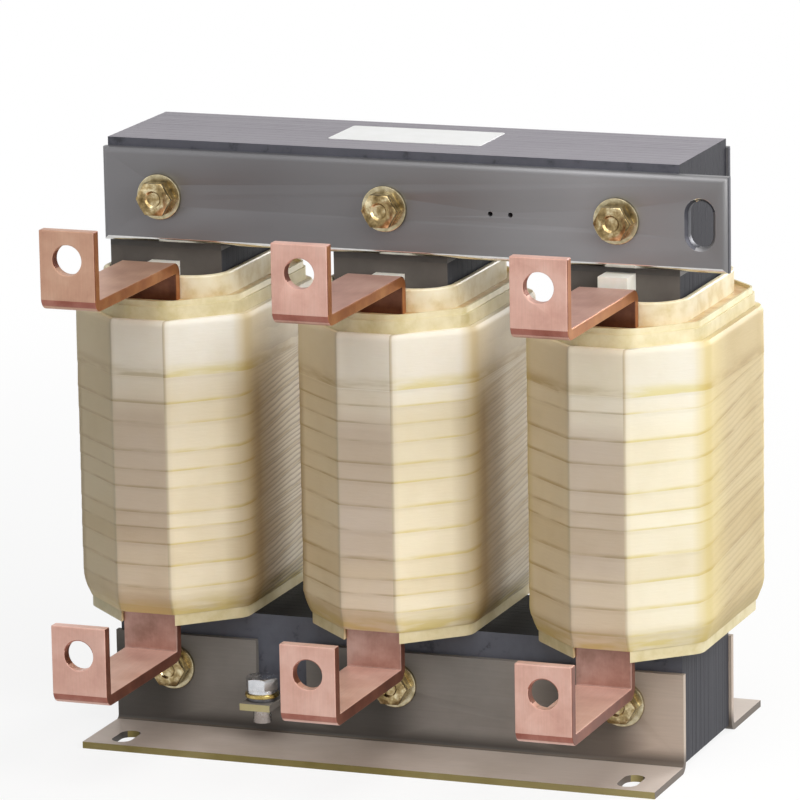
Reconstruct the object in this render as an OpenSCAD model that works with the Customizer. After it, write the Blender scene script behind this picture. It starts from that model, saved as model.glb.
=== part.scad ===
// Three-phase line reactor: laminated core, foil-wound coils, copper terminals, clamps and floor brackets.
// Millimetres. X runs along the core, the terminals face -Y and Z is up from the mounting plane.

/* [Core] */
// Distance between the centres of neighbouring limbs
limb_pitch = 104; // [98:1:120]
// Width of each limb
limb_w = 52; // [46:1:56]
// Depth of the lamination stack
stack_d = 65; // [55:1:85]
// Height of the lower yoke
yoke_h = 52; // [50:1:62]
// Height of the upper yoke
upper_yoke_h = 45; // [42:1:60]
// Height of the limbs
limb_h = 161; // [137:1:197]
// Thickness of the gap spacers on top of the limbs
air_gap = 3; // [1:0.5:5]

/* [Upper clamps] */
// Height of the upper clamp bars
clamp_h = 41; // [34:1:43]
// Thickness of the upper clamp bars
clamp_t = 5; // [4:0.5:7]
// Distance from the top of the yoke down to the clamp bars
clamp_drop = 4; // [2:0.5:5]
// Distance that both clamp bars overlap the ends of the core
clamp_over = 1; // [0:0.5:3]
// Length of the lifting lug past the right end of the core
lug_len = 22.5; // [21:0.5:30]
// Radius of the rolled edges on the clamp bars
clamp_edge_r = 2.5; // [1:0.5:3.5]
// Width of the lifting slot
lift_w = 11; // [8:0.5:12]
// Height of the lifting slot
lift_h = 20; // [16:1:24]
// Width of the countersunk rim round the lifting slot
lift_rim = 1.3; // [0.5:0.1:2]
// Distance from the end of the lug to the centre of the lifting slot
lift_edge = 12; // [10:0.5:13]
// Diameter of the two pin holes for a plate
pin_hole_d = 2.2; // [1.5:0.1:4]
// Distance between the two pin holes
pin_hole_gap = 9; // [6:0.5:14]

/* [Lower brackets] */
// Sheet thickness of the floor brackets
bracket_t = 3; // [2:0.5:4]
// Height of the upright leg above the floor
leg_h = 43.5; // [40:0.5:48]
// Depth of the foot flange in front of the leg
flange_d = 40; // [34:1:55]
// Distance that the brackets overlap the ends of the core
bracket_over = 1.3; // [0:0.1:4]
// Inner radius of the bend between leg and flange
bend_r = 2; // [1:0.5:4]
// Width of the floor slots
slot_w = 9; // [7:0.5:11]
// Length of the floor slots from end to end
slot_len = 18; // [14:1:22]
// Distance from the end of the flange to the slot
slot_end = 15; // [12:0.5:25]
// Distance from the edge of the flange to the centre of the slot
slot_edge = 13.5; // [13:0.5:18]

/* [Clamp bolts] */
// Thread diameter of the clamp bolts
bolt_d = 10; // [8:1:12]
// Width across flats of bolt heads and nuts
head_af = 14; // [13:1:18]
// Height of the bolt heads
head_h = 6.4; // [5:0.1:8]
// Diameter of the pressed hollow in the bolt heads
hollow_d = 7.5; // [4:0.5:9]
// Depth of the pressed hollow in the bolt heads
hollow_depth = 0.9; // [0.3:0.1:1.5]
// Height of the nuts
nut_h = 8.4; // [6:0.1:10]
// Outer diameter of the washers
washer_d = 20; // [18:0.5:24]
// Thickness of the washers
washer_t = 2; // [1.5:0.1:3]
// Thread that shows past each nut
bolt_tail = 4; // [2:0.5:8]
// Wall of the insulating sleeves round the bolts
bush_t = 1; // [0.5:0.1:2]

/* [Coils] */
// Clearance between the limb's sides and the former
limb_gap = 1; // [0.5:0.1:1.5]
// Depth of the cooling duct between limb and former
duct_d = 12; // [10:0.5:15]
// Wall of the former on which the coil is wound
former_t = 2.5; // [1.5:0.1:3]
// Corner radius of the former
former_r = 17.5; // [12:0.5:18]
// Gap between the former and the upper yoke
top_gap = 12; // [8:0.5:16]
// Thickness of the winding beside the limb
wind_side = 5.5; // [5:0.5:12]
// Thickness of the winding and its lead bars in front of the limb and behind it
wind_front = 13.7; // [13:0.1:20]
// Depth of the winding's slopes between its flats and its sides
slope_d = 22.5; // [20:0.5:28]
// Radius of the winding's corners between slopes and sides
wind_r = 6.5; // [4:0.5:12]
// Thickness of the insulating sleeve round the winding
sleeve_t = 2; // [1:0.1:3]
// Thickness of the sleeve's inner ply, which stands higher than the outer one
ply_t = 1; // [0.5:0.1:1.5]
// Distance that the inner ply stands above the outer one
ply_rise = 2.5; // [1:0.5:5]
// Radius of the sleeve's upper corners beside its flats
rim_r = 18; // [6:1:20]
// Distance that the former stands above the sleeve
former_rise = 8.5; // [2:0.5:10]
// Height of the margin strips at the coil's ends
margin_h = 9; // [6:0.5:12]
// Distance from the sleeve's upper rim down to the margin strip
margin_set = 1.5; // [0.5:0.5:4]
// Thickness of the outer tape wrap
wrap_t = 4; // [2:0.1:5]
// Height of the wrap's lower edge above the yoke
wrap_lift = 5; // [3:0.5:8]
// Distance from the sleeve's upper rim down to the wrap
wrap_set = 8; // [6:0.5:16]
// Height of the wrap's pinched lower edge
pinch_h = 8; // [4:0.5:14]
// Thickness that is left of the wrap at its pinched edge
pinch_t = 0.7; // [0.3:0.1:1.2]
// Width of the packing wedges between limb and former
wedge_w = 13; // [8:1:22]
// Length of the packing wedges
wedge_len = 60; // [30:1:100]
// Distance that the wedges stand above the former
wedge_rise = 3.5; // [1:0.5:4]
// Distance from the clamp bar down to the right front wedge, which stands higher
high_wedge_gap = 2.5; // [1:0.5:6]

/* [Terminals] */
// Width of the copper bars
bar_w = 25; // [20:1:30]
// Thickness of the copper bars
bar_t = 5; // [4:0.5:6]
// Inner radius of the bends in the bars
bar_r = 0.5; // [0.5:0.5:4]
// Distance from the coil's front to the face of the terminal tabs
bar_reach = 71; // [50:1:90]
// Height of the terminal tabs
tab_h = 34.5; // [30:0.5:46]
// Diameter of the terminal holes
tab_hole_d = 13; // [9:0.5:15]
// Distance from the top of the tab to the hole
tab_hole_drop = 12.5; // [11:0.5:16]
// Clear height of the upper bars over the formers
upper_bar_rise = 1.5; // [1:0.5:8]
// Clear height of the lower bars under the coils
lower_bar_drop = 12; // [8:0.5:14]
// Distance that the bars stop short of the far margin
bar_stop = 6; // [2:1:20]

/* [Earth terminal] */
// Distance of the notch to the left of the middle between two bolts
notch_shift = 1.2; // [-6:0.2:6]
// Width of the notch in the bracket
notch_w = 23.5; // [20:0.5:28]
// Width of the tongue bent out of the notch
tongue_w = 14; // [12:0.5:17]
// Length of the tongue in front of the leg
tongue_len = 20.5; // [18:0.5:24]
// Height of the tongue's underside above the floor
tongue_z = 17.5; // [14:0.5:19]
// Thread diameter of the earth screw
earth_d = 8; // [5:1:8]
// Width across flats of the earth screw's head
earth_af = 13; // [10:1:14]
// Height of the earth screw's head
earth_head_h = 5.3; // [4:0.1:6]
// Length of the earth screw under its head
earth_len = 15; // [12:1:18]
// Outer diameter of the earth clamping washer
earth_washer_d = 15; // [14:0.5:16]
// Thickness of each earth washer
earth_washer_t = 1.7; // [1:0.1:2]

/* [Hidden] */
$fn = 64;
// Clearance between pieces that are slid or wound together
fit = 0.1;
// Clearance of bolts in the holes of clamps and brackets
hole_gap = 0.5;
// Overshoot of cuts past the faces that they open
cut = 1;
// Straight steps that each rounded coil corner is drawn with
arc_steps = 8;
core_w = 2 * limb_pitch + limb_w;
front_y = -stack_d / 2;
yoke_z = bracket_t;
limb_z = yoke_z + yoke_h;
top_yoke_z = limb_z + limb_h + air_gap;
clamp_z = top_yoke_z + upper_yoke_h - clamp_drop - clamp_h;
upper_bolt_z = clamp_z + clamp_h / 2;
lower_bolt_z = yoke_z + yoke_h / 2;
core_hole_d = bolt_d + 2 * bush_t + 4 * fit;
// Widths between the washers' seats on the two sides of the core
upper_clamped = stack_d + 2 * clamp_t;
lower_clamped = stack_d + 2 * bracket_t;
flange_y = stack_d / 2 + bracket_t + flange_d;
bracket_w = core_w + 2 * bracket_over;
slot_x = bracket_w / 2 - slot_end;
slot_y = flange_y - slot_edge;
former_in = [limb_w + 2 * limb_gap, stack_d + 2 * duct_d];
former_out = [former_in.x + 2 * former_t, former_in.y + 2 * former_t];
former_h = limb_h + air_gap - top_gap;
sleeve_h = former_h - former_rise;
wrap_h = sleeve_h - wrap_set - wrap_lift;
wind_h = sleeve_h - 2 * margin_h - margin_set;
wind_half = former_out / 2 + [wind_side + fit, wind_front + fit];
// Distances from the winding out to the faces of the layers on it
sleeve_in = fit;
sleeve_out = sleeve_in + sleeve_t;
wrap_in = sleeve_out + fit;
wrap_out = wrap_in + wrap_t;
// Back faces of the bars' legs: the inner one on the former, the outer one under the sleeve
inner_leg_y = -former_out.y / 2 - fit;
outer_leg_y = -wind_half.y + bar_t;
tab_y = -wind_half.y - wrap_out - bar_reach;
upper_bar_z = limb_z + former_h + upper_bar_rise;
lower_bar_z = limb_z - lower_bar_drop - bar_t;
notch_x = -limb_pitch / 2 - notch_shift - notch_w / 2;
tongue_x = notch_x + tongue_w / 2 + fit;
earth_y = front_y - bracket_t - (bend_r + tongue_len) / 2;
earth_z = tongue_z + bracket_t;

// Puts a shape on one limb: -1 left, 0 centre, 1 right
module at_limb(i) { translate([i * limb_pitch, 0, 0]) children(); }

module at_limbs() { for (i = [-1:1]) at_limb(i) children(); }

module block(size, at) { translate(at) cube(size); }

// Cylinder along +Y from a point
module rod_y(d, len, at) { translate(at) rotate([-90, 0, 0]) cylinder(d = d, h = len); }

module round_rect(size, r) {
    square([size.x - 2 * r, size.y], center = true);
    square([size.x, size.y - 2 * r], center = true);
    for (sx = [-1, 1], sy = [-1, 1]) translate([sx * (size.x / 2 - r), sy * (size.y / 2 - r)]) circle(r);
}

// Plan of the winding: eight sides, the front and rear flats as wide as the lead bar; layers on it keep the
// width of the flats and grow outward by a distance, and flat_r rounds the corners beside the flats
module coil_plan(grow, flat_r = 0) {
    flat_half = bar_w / 2 + fit;
    slope = [wind_half.x - flat_half, slope_d];
    slope_len = norm(slope);
    turn = atan2(slope.x, slope.y);
    side_half = wind_half.y - slope_d;
    centre = [wind_half.x - wind_r, side_half + wind_r * (slope.y - slope_len) / slope.x];
    flat = [flat_half, wind_half.y + grow];
    corner = [for (k = [arc_steps:-1:0])
        centre + (wind_r + grow) * [cos(turn * k / arc_steps), sin(turn * k / arc_steps)]];
    bend = atan2(flat.y - corner[0].y, corner[0].x - flat.x);
    bend_centre = flat - flat_r * [tan(bend / 2), 1];
    rounded = [for (k = [0:arc_steps])
        bend_centre + flat_r * [sin(bend * k / arc_steps), cos(bend * k / arc_steps)]];
    quarter = concat(flat_r > 0 ? rounded : [flat], corner);
    back = [for (i = [len(quarter) - 1:-1:0]) quarter[i]];
    polygon(concat(
        quarter,
        [for (p = back) [p.x, -p.y]],
        [for (p = quarter) -p],
        [for (p = back) [-p.x, p.y]]
    ));
}

// Hexagon head or nut with turned corners, along +Z
module hexagon(af, h) {
    corner = af / cos(30);
    turned = (corner - af) / 2;
    intersection() {
        cylinder(d = corner, h = h, $fn = 6);
        union() {
            cylinder(d = corner, h = h - turned / 2);
            translate([0, 0, h - turned / 2]) cylinder(d1 = corner, d2 = corner - 2 * turned, h = turned / 2);
        }
    }
}

module ring(d, hole, h) {
    difference() {
        cylinder(d = d, h = h);
        translate([0, 0, -cut]) cylinder(d = hole, h = h + 2 * cut);
    }
}

// Quarter of a bend in the plane of the sheet's section, turned by quarters
module bend_quarter(r, t, quarter) {
    rotate(90 * quarter) intersection() {
        difference() {
            circle(r + t);
            circle(r);
        }
        square(r + t);
    }
}

// Extrudes a section drawn in Y and Z along X, about the middle
module along_x(w) { rotate([90, 0, 90]) translate([0, 0, -w / 2]) linear_extrude(w) children(); }

// Bolt holes through the core and what is clamped on it
module bolt_holes(z, d) {
    half = max(upper_clamped, lower_clamped) / 2 + cut;
    at_limbs() rod_y(d, 2 * half, [0, -half, z]);
}

module yoke(z, h, bolt_z) {
    difference() {
        block([core_w, stack_d, h], [-core_w / 2, front_y, z]);
        bolt_holes(bolt_z, core_hole_d);
    }
}

module lower_yoke() { color("#55565e") yoke(yoke_z, yoke_h, lower_bolt_z); }

module upper_yoke() { color("#55565e") yoke(top_yoke_z, upper_yoke_h, upper_bolt_z); }

module limb() { color("#5c5c62") block([limb_w, stack_d, limb_h], [-limb_w / 2, front_y, limb_z]); }

module left_limb() { at_limb(-1) limb(); }

module centre_limb() { at_limb(0) limb(); }

module right_limb() { at_limb(1) limb(); }

module gap_spacers() {
    color("#c9b98c") at_limbs() block([limb_w, stack_d, air_gap], [-limb_w / 2, front_y, limb_z + limb_h]);
}

// Strip as long as the bar and as thick as its sheet, the two corners on its front rounded
module rolled_strip(len) {
    r = clamp_edge_r;
    translate([0, r - clamp_t]) square([len, clamp_t - r]);
    translate([r, -clamp_t]) square([len - 2 * r, clamp_t]);
    for (x = [r, len - r]) translate([x, r - clamp_t]) circle(r);
}

// Clamp bar with rolled front edges, its back on the plane Y = 0 and its front towards -Y
module clamp_bar(left, right) {
    intersection() {
        translate([(left + right) / 2, 0, 0]) along_x(right - left) mirror([1, -1]) rolled_strip(clamp_h);
        translate([left, 0, 0]) linear_extrude(clamp_h) rolled_strip(right - left);
    }
}

// Oblong cutter along +Y, upright, with a countersink at its start
module lift_cut(t) {
    half = (lift_h - lift_w) / 2;
    rotate([-90, 0, 0]) {
        for (s = [-1, 1]) translate([0, s * half, 0]) {
            translate([0, 0, -cut]) cylinder(d = lift_w, h = t + 2 * cut);
            cylinder(d1 = lift_w + 2 * lift_rim, d2 = lift_w, h = lift_rim);
        }
        translate([-lift_w / 2, -half, -cut]) cube([lift_w, 2 * half, t + 2 * cut]);
    }
    translate([0, 0, -half]) linear_extrude(2 * half) polygon([
        [-lift_w / 2 - lift_rim, 0],
        [lift_w / 2 + lift_rim, 0],
        [lift_w / 2, lift_rim],
        [-lift_w / 2, lift_rim]
    ]);
}

module upper_front_clamp() {
    right = core_w / 2 + lug_len;
    color("#76767a") difference() {
        translate([0, front_y, clamp_z]) clamp_bar(-core_w / 2 - clamp_over, right);
        bolt_holes(upper_bolt_z, bolt_d + 2 * hole_gap);
        translate([right - lift_edge, front_y - clamp_t, upper_bolt_z]) lift_cut(clamp_t);
        for (x = [limb_pitch - pin_hole_gap, limb_pitch + pin_hole_gap] / 2)
            rod_y(pin_hole_d, clamp_t + 2 * cut, [x, front_y - clamp_t - cut, upper_bolt_z]);
    }
}

module upper_rear_clamp() {
    half = core_w / 2 + clamp_over;
    color("#76767a") difference() {
        translate([0, -front_y, clamp_z]) mirror([0, 1, 0]) clamp_bar(-half, half);
        bolt_holes(upper_bolt_z, bolt_d + 2 * hole_gap);
    }
}

// Angle bracket in section, its leg's back on the plane Y = 0 and its foot towards -Y
module angle_section() {
    r = bend_r;
    translate([-bracket_t, bracket_t + r]) square([bracket_t, leg_h - bracket_t - r]);
    translate([-bracket_t - flange_d, 0]) square([flange_d - r, bracket_t]);
    translate([-bracket_t - r, bracket_t + r]) bend_quarter(r, bracket_t, 3);
}

module floor_slot() {
    half = (slot_len - slot_w) / 2;
    h = bracket_t + 2 * cut;
    for (s = [-1, 1]) translate([0, s * half, -cut]) cylinder(d = slot_w, h = h);
    block([slot_w, 2 * half, h], [-slot_w / 2, -half, -cut]);
}

module angle_bracket() {
    difference() {
        translate([0, front_y, 0]) along_x(bracket_w) angle_section();
        for (s = [-1, 1]) translate([s * slot_x, -slot_y, 0]) floor_slot();
        bolt_holes(lower_bolt_z, bolt_d + 2 * hole_gap);
    }
}

// Tongue bent forward out of the notch, in section
module tongue_section() {
    r = bend_r;
    translate([-bracket_t - tongue_len, tongue_z]) square([tongue_len - r, bracket_t]);
    translate([-bracket_t - r, tongue_z - r]) bend_quarter(r, bracket_t, 0);
}

module lower_front_bracket() {
    notch_z = tongue_z - bend_r;
    color("#8d8478") difference() {
        union() {
            difference() {
                angle_bracket();
                block([notch_w, bracket_t + 2 * cut, leg_h], [notch_x, front_y - bracket_t - cut, notch_z]);
            }
            translate([tongue_x, front_y, 0]) along_x(tongue_w) tongue_section();
        }
        translate([tongue_x, earth_y, tongue_z - cut])
            cylinder(d = earth_d + 2 * fit, h = bracket_t + 2 * cut);
    }
}

module lower_rear_bracket() { color("#8d8478") mirror([0, 1, 0]) angle_bracket(); }

// Clamp bolt along +Y, head in front; the clamped width is from washer seat to washer seat
module clamp_bolt(clamped) {
    seat = clamped / 2 + washer_t;
    translate([0, -seat, 0]) rotate([90, 0, 0]) difference() {
        hexagon(head_af, head_h);
        translate([0, 0, head_h - hollow_depth])
            cylinder(d1 = hollow_d - 2 * hollow_depth, d2 = hollow_d + 2 * cut, h = hollow_depth + cut);
    }
    rod_y(bolt_d, 2 * seat + nut_h + bolt_tail, [0, -seat, 0]);
}

module clamp_washers(clamped) {
    for (y = [-clamped / 2 - washer_t, clamped / 2])
        translate([0, y, 0]) rotate([-90, 0, 0]) ring(washer_d, bolt_d + 2 * fit, washer_t);
}

module clamp_nut(clamped) {
    translate([0, clamped / 2 + washer_t, 0]) rotate([-90, 0, 0]) difference() {
        hexagon(head_af, nut_h);
        translate([0, 0, -cut]) cylinder(d = bolt_d + 2 * fit, h = nut_h + 2 * cut);
    }
}

module upper_bolts() {
    color("#b9a05c") at_limbs() translate([0, 0, upper_bolt_z]) clamp_bolt(upper_clamped);
}

module upper_washers() {
    color("#c2aa68") at_limbs() translate([0, 0, upper_bolt_z]) clamp_washers(upper_clamped);
}

module upper_nuts() {
    color("#b9a05c") at_limbs() translate([0, 0, upper_bolt_z]) clamp_nut(upper_clamped);
}

module lower_bolts() {
    color("#b9a05c") at_limbs() translate([0, 0, lower_bolt_z]) clamp_bolt(lower_clamped);
}

module lower_washers() {
    color("#c2aa68") at_limbs() translate([0, 0, lower_bolt_z]) clamp_washers(lower_clamped);
}

module lower_nuts() {
    color("#b9a05c") at_limbs() translate([0, 0, lower_bolt_z]) clamp_nut(lower_clamped);
}

module bolt_sleeves() {
    bore = bolt_d + 2 * fit;
    color("#d8d0b8") at_limbs() for (z = [lower_bolt_z, upper_bolt_z])
        translate([0, front_y, z]) rotate([-90, 0, 0]) ring(bore + 2 * bush_t, bore, stack_d);
}

// Place of the inner bar's leg, on the former, with its clearance
module inner_leg_room() {
    translate([-bar_w / 2 - fit, inner_leg_y - bar_t - fit]) square([bar_w + 2 * fit, bar_t + 2 * fit + cut]);
}

// Place of the outer bar's leg, under the sleeve, with its clearance
module outer_leg_room() {
    translate([-bar_w / 2 - fit, outer_leg_y - bar_t - cut]) square([bar_w + 2 * fit, bar_t + cut + fit]);
}

module former() {
    color("#e8dcc0") translate([0, 0, limb_z]) linear_extrude(former_h) difference() {
        round_rect(former_out, former_r);
        round_rect(former_in, former_r - former_t);
    }
}

// Space between former and sleeve, in plan
module winding_plan(flat_r = 0) {
    difference() {
        coil_plan(0, flat_r);
        round_rect(former_out + [2 * fit, 2 * fit], former_r + fit);
    }
}

module winding() {
    color("#b87952") translate([0, 0, limb_z + margin_h]) linear_extrude(wind_h) difference() {
        winding_plan();
        inner_leg_room();
        outer_leg_room();
    }
}

// Strips that fill the coil's ends: the inner bar passes the upper one and the outer bar the lower one
module margins() {
    color("#e6d8b6") {
        translate([0, 0, limb_z]) linear_extrude(margin_h) difference() {
            winding_plan();
            outer_leg_room();
        }
        translate([0, 0, limb_z + margin_h + wind_h]) linear_extrude(margin_h) difference() {
            winding_plan(rim_r);
            inner_leg_room();
        }
    }
}

// Wall of the sleeve from one height to another, out to the given face
module sleeve_wall(low, high, out, flat_r) {
    translate([0, 0, low]) linear_extrude(high - low) difference() {
        coil_plan(out, flat_r);
        coil_plan(sleeve_in, flat_r);
    }
}

// Insulating sleeve round the winding: rounded above it, cut out at its foot for the outer bar
module sleeve() {
    rim_low = margin_h + wind_h;
    color("#efe6cf") translate([0, 0, limb_z]) difference() {
        union() {
            sleeve_wall(0, rim_low, sleeve_out, 0);
            sleeve_wall(rim_low, sleeve_h - ply_rise, sleeve_out, rim_r);
            sleeve_wall(sleeve_h - ply_rise, sleeve_h, sleeve_in + ply_t, rim_r);
        }
        block(
            [bar_w + 2 * fit, sleeve_t + 2 * cut, wrap_lift + 2 * cut],
            [-bar_w / 2 - fit, -wind_half.y - sleeve_out - cut, -cut]
        );
    }
}

// Tape wrap with its lower edge pinched in towards the sleeve
module wrap() {
    color("#efe6cf") translate([0, 0, limb_z + wrap_lift]) difference() {
        union() {
            translate([0, 0, pinch_h]) linear_extrude(wrap_h - pinch_h) coil_plan(wrap_out);
            hull() {
                linear_extrude(fit) coil_plan(wrap_in + pinch_t);
                translate([0, 0, pinch_h - fit]) linear_extrude(fit) coil_plan(wrap_out);
            }
        }
        translate([0, 0, -cut]) linear_extrude(wrap_h + 2 * cut) coil_plan(wrap_in);
    }
}

// Wedges in front of each limb and behind it
module coil_wedges() {
    depth = duct_d - 2 * fit;
    top = limb_z + former_h + wedge_rise;
    high_top = clamp_z - high_wedge_gap;
    color("#f3efe4") for (i = [-1:1], side = [-1, 1]) {
        right_front = i == 1 && side == -1;
        z = (right_front ? high_top : top) - wedge_len;
        y = side * (stack_d + duct_d) / 2 - depth / 2;
        at_limb(i) block([wedge_w, depth, wedge_len], [-wedge_w / 2, y, z]);
    }
}

// Bent bar in section: leg at leg_y from leg_z, run at run_z and tab at tab_y
module bar_section(leg_y, leg_z, run_z, up) {
    r = bar_r;
    t = bar_t;
    leg_low = up ? leg_z : run_z + t + r;
    leg_high = up ? run_z - r : leg_z;
    translate([leg_y - t, leg_low]) square([t, leg_high - leg_low]);
    if (up) translate([leg_y - t - r, run_z - r]) bend_quarter(r, t, 0);
    else translate([leg_y - t - r, run_z + t + r]) bend_quarter(r, t, 3);
    translate([tab_y + t + r, run_z]) square([leg_y - t - r - (tab_y + t + r), t]);
    translate([tab_y + t + r, run_z + t + r]) bend_quarter(r, t, 2);
    translate([tab_y, run_z + t + r]) square([t, tab_h - t - r]);
}

module terminal(leg_y, leg_z, run_z, up) {
    color("#c98f78") difference() {
        along_x(bar_w) bar_section(leg_y, leg_z, run_z, up);
        rod_y(tab_hole_d, bar_t + 2 * cut, [0, tab_y - cut, run_z + tab_h - tab_hole_drop]);
    }
}

module upper_terminal() { terminal(inner_leg_y, limb_z + margin_h + bar_stop, upper_bar_z, true); }

module lower_terminal() { terminal(outer_leg_y, limb_z + margin_h + wind_h - bar_stop, lower_bar_z, false); }

// Screw whose head sits on the three washers
module earth_screw() {
    color("#c9c9cc") translate([tongue_x, earth_y, earth_z + 3 * earth_washer_t]) {
        hexagon(earth_af, earth_head_h);
        translate([0, 0, -earth_len]) cylinder(d = earth_d, h = earth_len);
    }
}

// Washer in its place above the tongue, counted from 0
module earth_washer(place, d) {
    translate([tongue_x, earth_y, earth_z + place * earth_washer_t])
        ring(d, earth_d + 2 * fit, earth_washer_t);
}

module earth_tooth_washer() { color("#8f8f92") earth_washer(0, earth_af); }

module earth_clamp_washer() { color("#c9a84c") earth_washer(1, earth_washer_d); }

module earth_spring_washer() { color("#c9c9cc") earth_washer(2, earth_af); }

module left_former() { at_limb(-1) former(); }

module centre_former() { at_limb(0) former(); }

module right_former() { at_limb(1) former(); }

module left_winding() { at_limb(-1) winding(); }

module centre_winding() { at_limb(0) winding(); }

module right_winding() { at_limb(1) winding(); }

module left_margins() { at_limb(-1) margins(); }

module centre_margins() { at_limb(0) margins(); }

module right_margins() { at_limb(1) margins(); }

module left_sleeve() { at_limb(-1) sleeve(); }

module centre_sleeve() { at_limb(0) sleeve(); }

module right_sleeve() { at_limb(1) sleeve(); }

module left_wrap() { at_limb(-1) wrap(); }

module centre_wrap() { at_limb(0) wrap(); }

module right_wrap() { at_limb(1) wrap(); }

module upper_left_terminal() { at_limb(-1) upper_terminal(); }

module upper_centre_terminal() { at_limb(0) upper_terminal(); }

module upper_right_terminal() { at_limb(1) upper_terminal(); }

module lower_left_terminal() { at_limb(-1) lower_terminal(); }

module lower_centre_terminal() { at_limb(0) lower_terminal(); }

module lower_right_terminal() { at_limb(1) lower_terminal(); }

lower_yoke();
upper_yoke();
left_limb();
centre_limb();
right_limb();
gap_spacers();
upper_front_clamp();
upper_rear_clamp();
lower_front_bracket();
lower_rear_bracket();
upper_bolts();
upper_washers();
upper_nuts();
lower_bolts();
lower_washers();
lower_nuts();
bolt_sleeves();
left_former();
centre_former();
right_former();
left_winding();
centre_winding();
right_winding();
left_margins();
centre_margins();
right_margins();
left_sleeve();
centre_sleeve();
right_sleeve();
left_wrap();
centre_wrap();
right_wrap();
coil_wedges();
upper_left_terminal();
upper_centre_terminal();
upper_right_terminal();
lower_left_terminal();
lower_centre_terminal();
lower_right_terminal();
earth_screw();
earth_spring_washer();
earth_clamp_washer();
earth_tooth_washer();
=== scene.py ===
import math
import random

import bmesh
import bpy
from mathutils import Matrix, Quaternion, Vector, noise


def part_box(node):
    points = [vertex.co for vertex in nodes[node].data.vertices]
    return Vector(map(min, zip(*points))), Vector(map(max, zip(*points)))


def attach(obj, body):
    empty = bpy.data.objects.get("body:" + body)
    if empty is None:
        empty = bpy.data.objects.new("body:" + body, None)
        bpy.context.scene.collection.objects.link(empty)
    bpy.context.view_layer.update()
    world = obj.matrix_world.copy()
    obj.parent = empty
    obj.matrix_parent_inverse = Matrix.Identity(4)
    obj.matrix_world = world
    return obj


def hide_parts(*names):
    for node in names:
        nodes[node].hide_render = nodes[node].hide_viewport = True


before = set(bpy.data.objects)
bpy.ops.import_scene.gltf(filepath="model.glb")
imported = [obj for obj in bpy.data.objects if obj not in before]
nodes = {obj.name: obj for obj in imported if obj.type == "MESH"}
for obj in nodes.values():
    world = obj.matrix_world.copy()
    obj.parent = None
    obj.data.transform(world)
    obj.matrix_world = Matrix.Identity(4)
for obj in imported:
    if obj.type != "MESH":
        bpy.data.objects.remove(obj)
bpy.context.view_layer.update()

mm = 0.001
coils = ["left", "centre", "right"]
scene = bpy.context.scene
scene.view_settings.view_transform = "Standard"
print("frame:", len(nodes), "nodes")


# colours are written as sRGB hex and used as linear values
def linear(code, alpha=1.0):
    channels = [int(code[i:i + 2], 16) / 255 for i in (1, 3, 5)]
    return [c / 12.92 if c <= 0.04045 else ((c + 0.055) / 1.055) ** 2.4 for c in channels] + [alpha]


# adds one node: settings are attributes, inputs are sockets to link or plain values
def addNode(tree, kind, settings=None, inputs=None):
    node = tree.nodes.new(kind)
    for name, value in (settings or {}).items():
        if name == "stops":  # colour ramp stops as (place, hex)
            while len(node.color_ramp.elements) < len(value):
                node.color_ramp.elements.new(1.0)
            for element, (place, code) in zip(node.color_ramp.elements, value):
                element.position = place
                element.color = linear(code)
        else:
            setattr(node, name, value)
    for key, value in (inputs or {}).items():
        if isinstance(value, bpy.types.NodeSocket):
            tree.links.new(value, node.inputs[key])
        else:
            node.inputs[key].default_value = value
    return node


# starts a material: returns it with its tree and its shader, constant values set on the shader's sockets
def startMaterial(name, shaderValues):
    material = bpy.data.materials.new(name)
    material.use_nodes = True
    tree = material.node_tree
    shader = tree.nodes["Principled BSDF"]
    for key, value in shaderValues.items():
        shader.inputs[key].default_value = value
    return material, tree, shader


# links a finish's colour, roughness and relief to its shader
def linkFinish(tree, shader, colour, rough, relief):
    tree.links.new(colour, shader.inputs["Base Color"])
    tree.links.new(rough, shader.inputs["Roughness"])
    tree.links.new(relief, shader.inputs["Normal"])


# a size in millimetres as a noise scale: features of about that size
def perMetre(sizeMm):
    return 1 / (sizeMm * mm)


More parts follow.
